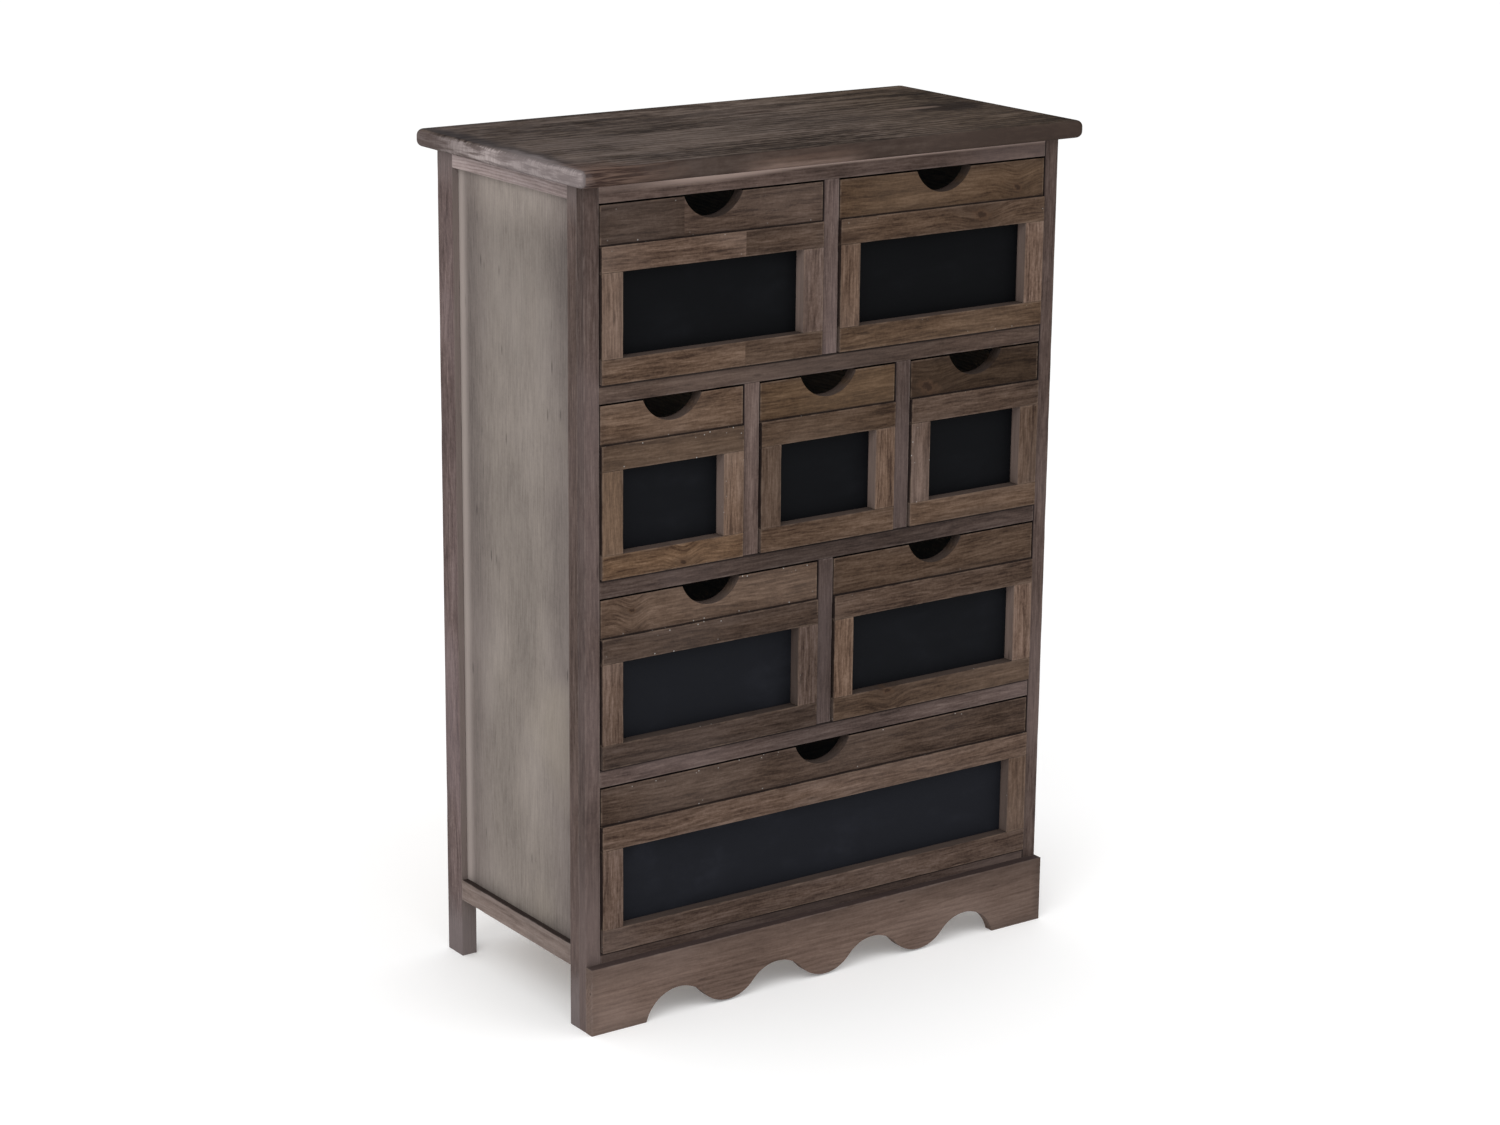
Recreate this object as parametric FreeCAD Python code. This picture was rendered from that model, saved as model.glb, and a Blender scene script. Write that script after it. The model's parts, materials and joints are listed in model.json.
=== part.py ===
import FreeCAD, Part
import math
import os

# Apothecary cabinet: a free-standing carcass with eight drawers in four rows.
# Frame: +Z up, the front looks along -Y, the origin lies on the floor midway
# between the outermost left, right, front and rear points. Millimetres.

# Overall sizes of the carcass
CARCASS_WIDTH = 517.0
CARCASS_DEPTH = 244.0

# Top board
TOP_THICKNESS = 16.0
TOP_UNDERSIDE = 767.0
TOP_SIDE_OVERHANG = 15.5
TOP_FRONT_OVERHANG = 20.0
TOP_REAR_OVERHANG = 15.0
TOP_CORNER_RADIUS = 8.0
TOP_EDGE_RADIUS = 6.0

# Posts, side rails and side panels
POST_WIDTH = 15.5
POST_DEPTH = 26.0
SIDE_TOP_RAIL_HEIGHT = 15.0
SIDE_LOW_RAIL_BOTTOM = 57.0
SIDE_LOW_RAIL_HEIGHT = 20.0
SIDE_PANEL_RECESS = 6.5
SIDE_PANEL_THICKNESS = 5.0
PANEL_GROOVE_DEPTH = 5.0

# Face frame
FACE_FRAME_THICKNESS = 11.0
MID_RAIL_HEIGHT = 16.5
DIVIDER_WIDTH = 17.0
OPENING_HEIGHT = 157.0
TOP_OPENING_TOP = 750.0
DRAWERS_PER_ROW = (2, 3, 2, 1)

# Scalloped apron
APRON_THICKNESS = 10.0
APRON_HEIGHT = 63.5
ARCH_COUNT = 4
ARCH_PITCH = 110.0
ARCH_PEAK = 27.0
LOBE_BOTTOM = 1.8

# Inside of the carcass
SHELF_THICKNESS = 12.0
BACK_PANEL_THICKNESS = 6.0
BACK_REBATE_WIDTH = 8.0
SIDE_GUIDE_HEIGHT = 20.0
BEARER_WIDTH = 12.0
BOTTOM_BEARER_HEIGHT = 12.0
BEARER_CLEARANCE = 3.0

# Drawer fronts
GAP_SIDE = 1.0
GAP_TOP = 1.5
GAP_BOTTOM = 0.5
FRONT_THICKNESS = 12.0
CLOSING_GAP = 0.5
PANEL_FRAME_HEIGHT = 120.0
PANEL_FRAME_PROUD = 3.0
PANEL_TOP_RAIL = 23.0
PANEL_LOW_RAIL = 22.0
PANEL_STILE = 21.5
CHALKBOARD_THICKNESS = 3.0
CHALKBOARD_LAP = 8.0
NOTCH_RADIUS = 33.0
NOTCH_DEPTH = 20.9

# Drawer boxes
BOX_LENGTH = 212.0
BOX_SIDE_HEIGHT = 138.0
BOX_WALL = 10.0
BOX_BOTTOM_THICKNESS = 4.0
BOX_BOTTOM_RAISE = 8.0
BOX_GROOVE_DEPTH = 5.0

# Wood screws that hold the top board on
SCREW_SHANK_RADIUS = 2.25
SCREW_HEAD_RADIUS = 4.5
SCREW_LENGTH = 45.0
SCREW_END_INSET = 40.0

# Nails that hold the back panel on
NAIL_SHANK_RADIUS = 0.8
NAIL_HEAD_RADIUS = 2.5
NAIL_HEAD_THICKNESS = 0.8
NAIL_LENGTH = 18.0
NAIL_ROWS = 6
NAIL_ROW_INSET = 30.0

# Positions worked out from the sizes above
HALF_WIDTH = CARCASS_WIDTH / 2
TOP_WIDTH = CARCASS_WIDTH + 2 * TOP_SIDE_OVERHANG
TOP_DEPTH = TOP_FRONT_OVERHANG + CARCASS_DEPTH + TOP_REAR_OVERHANG
FRONT = TOP_FRONT_OVERHANG - TOP_DEPTH / 2
REAR = FRONT + CARCASS_DEPTH
FRAME_BACK = FRONT + FACE_FRAME_THICKNESS
FRONT_POST_BACK = FRONT + POST_DEPTH
REAR_POST_FRONT = REAR - POST_DEPTH
PANEL_BACK_FACE = REAR - BACK_PANEL_THICKNESS
INNER_HALF = HALF_WIDTH - POST_WIDTH
ROW_PITCH = OPENING_HEIGHT + MID_RAIL_HEIGHT
SIDE_TOP_RAIL_BOTTOM = TOP_UNDERSIDE - SIDE_TOP_RAIL_HEIGHT
SIDE_LOW_RAIL_TOP = SIDE_LOW_RAIL_BOTTOM + SIDE_LOW_RAIL_HEIGHT


def block(x0, x1, y0, y1, z0, z1):
    """Rectangular solid between two opposite corners."""
    corner = FreeCAD.Vector(x0, y0, z0)
    return Part.makeBox(x1 - x0, y1 - y0, z1 - z0, corner)


def mirrored(shape):
    """The same shape on the other side of the centre plane."""
    return shape.mirror(FreeCAD.Vector(0, 0, 0), FreeCAD.Vector(1, 0, 0))


def group(solids):
    """Separate solids kept together under one name."""
    return Part.makeCompound(solids)


def floor_of_row(row):
    """Height of the face the drawers of a row run on, row 0 at the top."""
    return TOP_OPENING_TOP - OPENING_HEIGHT - row * ROW_PITCH


def openings_of_row(row):
    """Left and right edges of each drawer opening in a row."""
    count = DRAWERS_PER_ROW[row]
    width = (2 * INNER_HALF - (count - 1) * DIVIDER_WIDTH) / count
    edges = []
    for column in range(count):
        left = -INNER_HALF + column * (width + DIVIDER_WIDTH)
        edges.append((left, left + width))
    return edges


def divider_edges(row):
    """Left and right edges of each upright between the drawers of a row."""
    openings = openings_of_row(row)
    pairs = zip(openings[:-1], openings[1:])
    return [(near[1], far[0]) for near, far in pairs]


def ceiling_of_row(row):
    """Underside of the board that closes a row from above."""
    if row == 0:
        return TOP_UNDERSIDE
    return floor_of_row(row - 1) - SHELF_THICKNESS


def bearer_bottom(row):
    """Underside of the bearers, just over the box sides of a row."""
    return floor_of_row(row) + GAP_BOTTOM + BOX_SIDE_HEIGHT + BEARER_CLEARANCE


# Carcass -------------------------------------------------------------------

def side_panel():
    """Thin left side panel, its edges held in the grooves round it."""
    outer = -HALF_WIDTH + SIDE_PANEL_RECESS
    return block(outer, outer + SIDE_PANEL_THICKNESS,
                 FRONT_POST_BACK - PANEL_GROOVE_DEPTH,
                 REAR_POST_FRONT + PANEL_GROOVE_DEPTH,
                 SIDE_LOW_RAIL_TOP - PANEL_GROOVE_DEPTH,
                 SIDE_TOP_RAIL_BOTTOM + PANEL_GROOVE_DEPTH)


def front_post():
    """Left front post, which stands behind the face frame."""
    post = block(-HALF_WIDTH, -INNER_HALF, FRAME_BACK, FRONT_POST_BACK,
                 0, TOP_UNDERSIDE)
    return post.cut(side_panel())


def back_panel():
    """Thin board let into the rear posts from behind."""
    half = INNER_HALF + BACK_REBATE_WIDTH
    return block(-half, half, PANEL_BACK_FACE, REAR,
                 SIDE_LOW_RAIL_BOTTOM, TOP_UNDERSIDE)


def rear_post():
    """Left rear post with a groove for the side panel and a rear rebate."""
    post = block(-HALF_WIDTH, -INNER_HALF, REAR_POST_FRONT, REAR,
                 0, TOP_UNDERSIDE)
    return post.cut(side_panel()).cut(back_panel())


def bottom_board():
    """Lowest board, which rests on the bottom bearers."""
    top = floor_of_row(len(DRAWERS_PER_ROW) - 1)
    return block(-INNER_HALF, INNER_HALF, FRAME_BACK, PANEL_BACK_FACE,
                 top - SHELF_THICKNESS, top)


def side_rails():
    """Upper and lower rails between the posts, on both sides."""
    upper = block(-HALF_WIDTH, -INNER_HALF, FRONT_POST_BACK, REAR_POST_FRONT,
                  SIDE_TOP_RAIL_BOTTOM, TOP_UNDERSIDE)
    lower = block(-HALF_WIDTH, -INNER_HALF, FRONT_POST_BACK, REAR_POST_FRONT,
                  SIDE_LOW_RAIL_BOTTOM, SIDE_LOW_RAIL_TOP)
    upper = upper.cut(side_panel())
    lower = lower.cut(side_panel())
    return group([upper, lower, mirrored(upper), mirrored(lower)])


def face_frame_stiles():
    """Uprights at both ends of the face frame, down to the floor."""
    stile = block(-HALF_WIDTH, -INNER_HALF, FRONT, FRAME_BACK,
                  0, TOP_UNDERSIDE)
    return group([stile, mirrored(stile)])


def face_frame_rails():
    """Top rail, the rails between the rows and the rail under the last row."""
    rails = [block(-INNER_HALF, INNER_HALF, FRONT, FRAME_BACK,
                   TOP_OPENING_TOP, TOP_UNDERSIDE)]
    for row in range(len(DRAWERS_PER_ROW)):
        top = floor_of_row(row)
        rails.append(block(-INNER_HALF, INNER_HALF, FRONT, FRAME_BACK,
                           top - MID_RAIL_HEIGHT, top))
    return group(rails)


def face_frame_dividers():
    """Short uprights of the face frame between neighbouring drawers."""
    dividers = []
    for row in range(len(DRAWERS_PER_ROW)):
        low = floor_of_row(row)
        for left, right in divider_edges(row):
            dividers.append(block(left, right, FRONT, FRAME_BACK,
                                  low, low + OPENING_HEIGHT))
    return group(dividers)


def scalloped_apron():
    """Skirt on the front of the stiles: arches and lobes of one radius."""
    half_pitch = ARCH_PITCH / 2
    wave = ARCH_PEAK - LOBE_BOTTOM
    radius = (half_pitch ** 2 + wave ** 2) / (4 * wave)
    mid_height = (ARCH_PEAK + LOBE_BOTTOM) / 2
    foot_reach = math.sqrt(radius ** 2 - (radius - ARCH_PEAK) ** 2)
    first_arch = -(ARCH_COUNT - 1) * half_pitch
    front = FRONT - APRON_THICKNESS

    def at(x, z):
        return FreeCAD.Vector(x, front, z)

    edges = []
    start = at(first_arch - foot_reach, 0)
    for index in range(ARCH_COUNT):
        peak = first_arch + index * ARCH_PITCH
        last = index == ARCH_COUNT - 1
        end = at(peak + foot_reach, 0) if last else at(peak + half_pitch / 2, mid_height)
        edges.append(Part.Arc(start, at(peak, ARCH_PEAK), end).toShape())
        if not last:
            lobe = peak + half_pitch
            start = at(lobe + half_pitch / 2, mid_height)
            edges.append(Part.Arc(end, at(lobe, LOBE_BOTTOM), start).toShape())
    corners = [end, at(HALF_WIDTH, 0), at(HALF_WIDTH, APRON_HEIGHT),
               at(-HALF_WIDTH, APRON_HEIGHT), at(-HALF_WIDTH, 0),
               at(first_arch - foot_reach, 0)]
    for near, far in zip(corners[:-1], corners[1:]):
        edges.append(Part.makeLine(near, far))
    face = Part.Face(Part.Wire(edges))
    return face.extrude(FreeCAD.Vector(0, APRON_THICKNESS, 0))


def shelf_boards():
    """Boards behind the rails between the rows, which the drawers run on."""
    shelves = []
    for row in range(len(DRAWERS_PER_ROW) - 1):
        top = floor_of_row(row)
        shelves.append(block(-INNER_HALF, INNER_HALF,
                             FRAME_BACK, PANEL_BACK_FACE,
                             top - SHELF_THICKNESS, top))
    return group(shelves)


def partitions():
    """Upright boards behind the dividers, one between each two drawers."""
    boards = []
    for row in range(len(DRAWERS_PER_ROW)):
        for left, right in divider_edges(row):
            boards.append(block(left, right, FRAME_BACK, PANEL_BACK_FACE,
                                floor_of_row(row), ceiling_of_row(row)))
    return group(boards)


def side_guides():
    """Strips on the side panels that bring them level with the posts."""
    outer = -HALF_WIDTH + SIDE_PANEL_RECESS + SIDE_PANEL_THICKNESS
    strips = []
    for row in range(len(DRAWERS_PER_ROW)):
        low = max(floor_of_row(row), SIDE_LOW_RAIL_TOP)
        strip = block(outer, -INNER_HALF, FRONT_POST_BACK, REAR_POST_FRONT,
                      low, low + SIDE_GUIDE_HEIGHT)
        strips += [strip, mirrored(strip)]
    return group(strips)


def row_bearers(row):
    """Strips over the box sides of each drawer in a row.

    They carry the board above, stop the drawer front as it closes, and keep
    an open drawer from tipping.
    """
    low = bearer_bottom(row)
    high = ceiling_of_row(row)
    start = FRONT + FRONT_THICKNESS + CLOSING_GAP
    strips = []
    for left, right in openings_of_row(row):
        for x0 in (left, right - BEARER_WIDTH):
            strips.append(block(x0, x0 + BEARER_WIDTH,
                                start, PANEL_BACK_FACE, low, high))
    return strips


def wood_screw(x, y, z):
    """Countersunk screw pointing up, its head level with height z."""
    head_height = SCREW_HEAD_RADIUS - SCREW_SHANK_RADIUS
    up = FreeCAD.Vector(0, 0, 1)
    head = Part.makeCone(SCREW_HEAD_RADIUS, SCREW_SHANK_RADIUS, head_height,
                         FreeCAD.Vector(x, y, z), up)
    shank_length = SCREW_LENGTH - head_height - SCREW_SHANK_RADIUS
    shank = Part.makeCylinder(SCREW_SHANK_RADIUS, shank_length,
                              FreeCAD.Vector(x, y, z + head_height), up)
    tip = Part.makeCone(SCREW_SHANK_RADIUS, 0, SCREW_SHANK_RADIUS,
                        FreeCAD.Vector(x, y, z + head_height + shank_length), up)
    return head.fuse([shank, tip]).removeSplitter()


def top_fixing_screws():
    """Two screws up through each bearer of the top row."""
    low = bearer_bottom(0)
    screws = []
    for left, right in openings_of_row(0):
        for x in (left + BEARER_WIDTH / 2, right - BEARER_WIDTH / 2):
            for y in (FRONT_POST_BACK + SCREW_END_INSET,
                      REAR_POST_FRONT - SCREW_END_INSET):
                screws.append(wood_screw(x, y, low))
    return screws


def bottom_bearers():
    """Strips on the inside of the lower side rails, under the lowest board."""
    top = floor_of_row(len(DRAWERS_PER_ROW) - 1) - SHELF_THICKNESS
    strip = block(-INNER_HALF, BEARER_WIDTH - INNER_HALF,
                  FRAME_BACK, PANEL_BACK_FACE,
                  top - BOTTOM_BEARER_HEIGHT, top)
    return [strip, mirrored(strip)]


def bearer_strips():
    """All bearers; those of the top row are drilled for the top screws."""
    screws = group(top_fixing_screws())
    strips = [strip.cut(screws).Solids[0] for strip in row_bearers(0)]
    for row in range(1, len(DRAWERS_PER_ROW)):
        strips += row_bearers(row)
    return group(strips + bottom_bearers())


def top_board():
    """Top with rounded corners and rounded edges, drilled for the screws."""
    board = block(-TOP_WIDTH / 2, TOP_WIDTH / 2, -TOP_DEPTH / 2, TOP_DEPTH / 2,
                  TOP_UNDERSIDE, TOP_UNDERSIDE + TOP_THICKNESS)
    upright = [edge for edge in board.Edges
               if edge.BoundBox.ZLength > TOP_THICKNESS / 2]
    board = board.makeFillet(TOP_CORNER_RADIUS, upright)
    level = [edge for edge in board.Edges
             if edge.BoundBox.ZLength < TOP_THICKNESS / 2]
    board = board.makeFillet(TOP_EDGE_RADIUS, level)
    return board.cut(group(top_fixing_screws()))


def nail(x, z):
    """Round-headed nail driven forwards through the back panel."""
    forwards = FreeCAD.Vector(0, -1, 0)
    head = Part.makeCylinder(NAIL_HEAD_RADIUS, NAIL_HEAD_THICKNESS,
                             FreeCAD.Vector(x, REAR + NAIL_HEAD_THICKNESS, z),
                             forwards)
    shank = Part.makeCylinder(NAIL_SHANK_RADIUS, NAIL_LENGTH,
                              FreeCAD.Vector(x, REAR, z), forwards)
    return head.fuse(shank).removeSplitter()


def back_panel_nails():
    """Nails down both rear posts and along each shelf."""
    edge = INNER_HALF + BACK_REBATE_WIDTH / 2
    low = SIDE_LOW_RAIL_BOTTOM + NAIL_ROW_INSET
    high = TOP_UNDERSIDE - NAIL_ROW_INSET
    step = (high - low) / (NAIL_ROWS - 1)
    nails = []
    for row in range(NAIL_ROWS):
        nails += [nail(-edge, low + row * step), nail(edge, low + row * step)]
    for row in range(len(DRAWERS_PER_ROW)):
        z = floor_of_row(row) - SHELF_THICKNESS / 2
        nails += [nail(x, z) for x in (-INNER_HALF / 2, INNER_HALF / 2)]
    return nails


# Drawers -------------------------------------------------------------------

class Drawer:
    """Outline of one drawer: its edges and its lowest and highest points."""

    def __init__(self, row, opening):
        self.left = opening[0] + GAP_SIDE
        self.right = opening[1] - GAP_SIDE
        self.low = floor_of_row(row) + GAP_BOTTOM
        self.high = floor_of_row(row) + OPENING_HEIGHT - GAP_TOP
        self.seam = self.low + PANEL_FRAME_HEIGHT
        self.back = FRONT + FRONT_THICKNESS


def notch_rail(drawer):
    """Plain upper strip of the front with a round finger notch."""
    strip = block(drawer.left, drawer.right, FRONT, drawer.back,
                  drawer.seam, drawer.high)
    centre = FreeCAD.Vector((drawer.left + drawer.right) / 2, FRONT,
                            drawer.high - NOTCH_DEPTH + NOTCH_RADIUS)
    cutter = Part.makeCylinder(NOTCH_RADIUS, FRONT_THICKNESS, centre,
                               FreeCAD.Vector(0, 1, 0))
    return strip.cut(cutter)


def chalkboard(drawer):
    """Thin writing panel held in the rebate behind the panel frame."""
    inset = PANEL_STILE - CHALKBOARD_LAP
    return block(drawer.left + inset, drawer.right - inset,
                 drawer.back - CHALKBOARD_THICKNESS, drawer.back,
                 drawer.low + PANEL_LOW_RAIL - CHALKBOARD_LAP,
                 drawer.seam - PANEL_TOP_RAIL + CHALKBOARD_LAP)


def box_bottom(drawer):
    """Bottom panel let into the sides and into the lower frame rail."""
    inset = BOX_WALL - BOX_GROOVE_DEPTH
    return block(drawer.left + inset, drawer.right - inset,
                 drawer.back - BOX_GROOVE_DEPTH, drawer.back + BOX_LENGTH,
                 drawer.low + BOX_BOTTOM_RAISE,
                 drawer.low + BOX_BOTTOM_RAISE + BOX_BOTTOM_THICKNESS)


def panel_frame(drawer):
    """Proud frame round the chalkboard: two rails with two stiles between."""
    front = FRONT - PANEL_FRAME_PROUD
    low_edge = drawer.low + PANEL_LOW_RAIL
    high_edge = drawer.seam - PANEL_TOP_RAIL
    members = [
        block(drawer.left, drawer.right, front, drawer.back,
              drawer.low, low_edge),
        block(drawer.left, drawer.right, front, drawer.back,
              high_edge, drawer.seam),
        block(drawer.left, drawer.left + PANEL_STILE, front, drawer.back,
              low_edge, high_edge),
        block(drawer.right - PANEL_STILE, drawer.right, front, drawer.back,
              low_edge, high_edge),
    ]
    held = group([chalkboard(drawer), box_bottom(drawer)])
    return group([member.cut(held).Solids[0] for member in members])


def box_walls(drawer):
    """Two grooved sides and a back that stands on the bottom panel."""
    end = drawer.back + BOX_LENGTH
    top = drawer.low + BOX_SIDE_HEIGHT
    left = block(drawer.left, drawer.left + BOX_WALL, drawer.back, end,
                 drawer.low, top)
    right = block(drawer.right - BOX_WALL, drawer.right, drawer.back, end,
                  drawer.low, top)
    back = block(drawer.left + BOX_WALL, drawer.right - BOX_WALL,
                 end - BOX_WALL, end,
                 drawer.low + BOX_BOTTOM_RAISE + BOX_BOTTOM_THICKNESS, top)
    bottom = box_bottom(drawer)
    return group([left.cut(bottom), right.cut(bottom), back])


def drawer_parts():
    """The five pieces of every drawer, named by row and column."""
    parts = {}
    for row in range(len(DRAWERS_PER_ROW)):
        for column, opening in enumerate(openings_of_row(row)):
            name = "drawer_r%dc%d" % (row + 1, column + 1)
            drawer = Drawer(row, opening)
            parts[name + "_notch_rail"] = notch_rail(drawer)
            parts[name + "_panel_frame"] = panel_frame(drawer)
            parts[name + "_chalkboard"] = chalkboard(drawer)
            parts[name + "_box_walls"] = box_walls(drawer)
            parts[name + "_box_bottom"] = box_bottom(drawer)
    return parts


def carcass_parts():
    """Every piece of the carcass, named."""
    nails = group(back_panel_nails())
    left_rear = rear_post().cut(nails)
    shelves = group([board.cut(nails) for board in shelf_boards().Solids])
    return {
        "top_board": top_board(),
        "left_front_post": front_post(),
        "right_front_post": mirrored(front_post()),
        "left_rear_post": left_rear,
        "right_rear_post": mirrored(left_rear),
        "side_rails": side_rails(),
        "left_side_panel": side_panel(),
        "right_side_panel": mirrored(side_panel()),
        "face_frame_stiles": face_frame_stiles(),
        "face_frame_rails": face_frame_rails(),
        "face_frame_dividers": face_frame_dividers(),
        "scalloped_apron": scalloped_apron(),
        "back_panel": back_panel().cut(nails),
        "shelf_boards": shelves,
        "bottom_board": bottom_board().cut(nails),
        "partitions": partitions(),
        "side_guides": side_guides(),
        "bearer_strips": bearer_strips(),
        "top_fixing_screws": group(top_fixing_screws()),
        "back_panel_nails": nails,
    }


os.makedirs("parts", exist_ok=True)
for node, shape in {**carcass_parts(), **drawer_parts()}.items():
    shape.exportStep("parts/%s.step" % node)
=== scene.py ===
import json
import math
import random

import bmesh
import bpy
from mathutils import Matrix, Vector, noise

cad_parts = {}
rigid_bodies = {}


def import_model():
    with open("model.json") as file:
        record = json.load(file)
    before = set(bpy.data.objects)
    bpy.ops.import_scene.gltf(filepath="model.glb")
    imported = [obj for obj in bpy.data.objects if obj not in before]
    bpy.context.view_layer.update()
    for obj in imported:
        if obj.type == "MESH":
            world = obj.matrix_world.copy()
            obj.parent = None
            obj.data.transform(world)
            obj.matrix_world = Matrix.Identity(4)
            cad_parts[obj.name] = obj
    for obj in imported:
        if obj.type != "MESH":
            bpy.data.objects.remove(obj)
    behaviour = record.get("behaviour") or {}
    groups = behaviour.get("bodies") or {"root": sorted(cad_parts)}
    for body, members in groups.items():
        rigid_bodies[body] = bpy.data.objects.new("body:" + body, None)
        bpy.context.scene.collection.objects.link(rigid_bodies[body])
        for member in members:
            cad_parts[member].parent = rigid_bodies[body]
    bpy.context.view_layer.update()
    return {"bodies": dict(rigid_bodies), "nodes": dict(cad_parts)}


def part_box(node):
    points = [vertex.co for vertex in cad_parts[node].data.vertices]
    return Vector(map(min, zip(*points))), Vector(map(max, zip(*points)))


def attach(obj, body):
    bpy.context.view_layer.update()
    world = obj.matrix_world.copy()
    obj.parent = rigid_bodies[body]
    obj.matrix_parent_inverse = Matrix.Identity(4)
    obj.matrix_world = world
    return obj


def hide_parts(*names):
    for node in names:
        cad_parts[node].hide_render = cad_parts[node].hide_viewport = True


# Looks of an apothecary cabinet: every board is a separate length of old,
# stained timber with its own grain, tone and worn arrises. Metres, in the
# frame of the CAD part: +Z up, the front looks along -Y.

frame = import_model()

MM = 0.001
AXES = "xyz"
FAR_AWAY = 100.0                # where a board without a knot has its knot

# Sizes of the top board, drawer fronts and boxes
TOP_CORNER_RADIUS = 8 * MM
TOP_EDGE_RADIUS = 6 * MM
PANEL_TOP_RAIL = 23 * MM
PANEL_LOW_RAIL = 22 * MM
PANEL_STILE = 21.5 * MM
NOTCH_RADIUS = 33 * MM
NOTCH_DEPTH = 20.9 * MM
BOX_WALL = 10 * MM

# Scalloped apron
ARCH_COUNT = 4
ARCH_PITCH = 110 * MM
ARCH_PEAK = 27 * MM
LOBE_BOTTOM = 1.8 * MM

# Wear of the arrises
ARRIS = 0.55 * MM
FINE_ARRIS = 0.4 * MM
SLICE = 14 * MM
NICK_DEPTH = 0.4 * MM
NICK_REACH = 1.5 * MM
NICK_SCALE = 60.0
FINE_NICK_SCALE = 260.0
SHARP_ANGLE = math.radians(50)

DRAWERS = [name for name in frame["bodies"] if name.startswith("drawer_")]

# Places that the painted shade and highlight keep to: upper edge of the top row, sides of
# the carcass
TOP_OF_DRAWERS = max(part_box(name + "_notch_rail")[1].z for name in DRAWERS)
HALF_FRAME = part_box("face_frame_stiles")[1].x

# Studio: the camera looks from the front left, a little above the top board
CAMERA_PLACE = (-1.78557, -2.5385, 1.2485)
CAMERA_AZIMUTH = math.radians(35.126)
CAMERA_DIP = math.radians(15.789)
CAMERA_ROLL = math.radians(0.587)
CAMERA_SENSOR = 36.0
CAMERA_LENS = 82.588
FLOOR_REACH = 12.0
LAMP_TARGET = (0, 0, 0.4)
WORLD_STRENGTH = 0.95
SEEN_WORLD_STRENGTH = 1.05

# Tone and warmth of the boards of each front: strip, upper rail, left stile,
# right stile, lower rail. Tone 1 is the usual wood; warmth runs from grey (-1)
# to orange (+1).
FRONT_LOOKS = {
    "drawer_r1c1": ((0.65, -0.4), (1.45, -0.2), (1.6, -0.2), (1.5, -1.2), (1.35, 0.3)),
    "drawer_r1c2": ((1.0, 1.1), (1.15, 0.5), (1.65, 0.0), (2.1, -0.5), (1.1, 0.9)),
    "drawer_r2c1": ((1.35, 0.4), (0.9, 0.6), (1.5, 0.8), (1.85, 0.0), (1.75, 1.1)),
    "drawer_r2c2": ((1.0, 1.4), (0.95, 0.6), (1.0, 0.0), (1.8, 0.0), (1.35, 0.4)),
    "drawer_r2c3": ((0.55, 0.8), (1.05, -0.2), (1.35, -0.6), (1.15, 0.0), (1.3, 0.4)),
    "drawer_r3c1": ((1.2, 0.2), (0.8, -0.3), (1.55, -0.5), (1.15, -1.1), (0.7, -0.7)),
    "drawer_r3c2": ((0.95, 0.4), (1.1, -0.2), (1.9, 0.0), (2.1, -0.5), (0.95, 0.4)),
    "drawer_r4c1": ((0.85, -0.3), (1.4, -0.3), (1.6, -0.7), (1.35, 0.0), (1.1, -0.7)),
}
# Where a second length of timber begins, and how light it is against the first
FRONT_JOINS = {
    "drawer_r1c1_notch_rail": (0.37, 1.48),
    "drawer_r1c1_panel_frame 0": (0.64, 0.73),
    "drawer_r1c1_panel_frame 1": (0.64, 0.66),
}
# The knot of a board: shares of its length and height, and how large it is
FRONT_KNOTS = {
    "drawer_r1c2_notch_rail": (0.87, 0.3, 0.9),
    "drawer_r1c2_panel_frame 1": (0.68, 0.55, 1.3),
    "drawer_r2c1_panel_frame 0": (0.57, 0.2, 0.7),
    "drawer_r2c3_notch_rail": (0.13, 0.25, 1.6),
    "drawer_r3c1_notch_rail": (0.14, 0.62, 0.6),
    "drawer_r3c2_panel_frame 0": (0.27, 0.85, 0.8),
}
# How light each writing panel is, from chalk dust and a painted sheen, and how much painted
# light lifts the painted shade on the sawn edge to its right
PANEL_LOOKS = {
    "drawer_r1c1": (0.9, 2.3), "drawer_r1c2": (0.8, 1.35),
    "drawer_r2c1": (1.35, 1.8), "drawer_r2c2": (1.05, 1.8), "drawer_r2c3": (1.0, 2.3),
    "drawer_r3c1": (2.1, 1.1), "drawer_r3c2": (1.4, 1.8), "drawer_r4c1": (2.5, 1.5),
}


# Board shapes --------------------------

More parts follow.
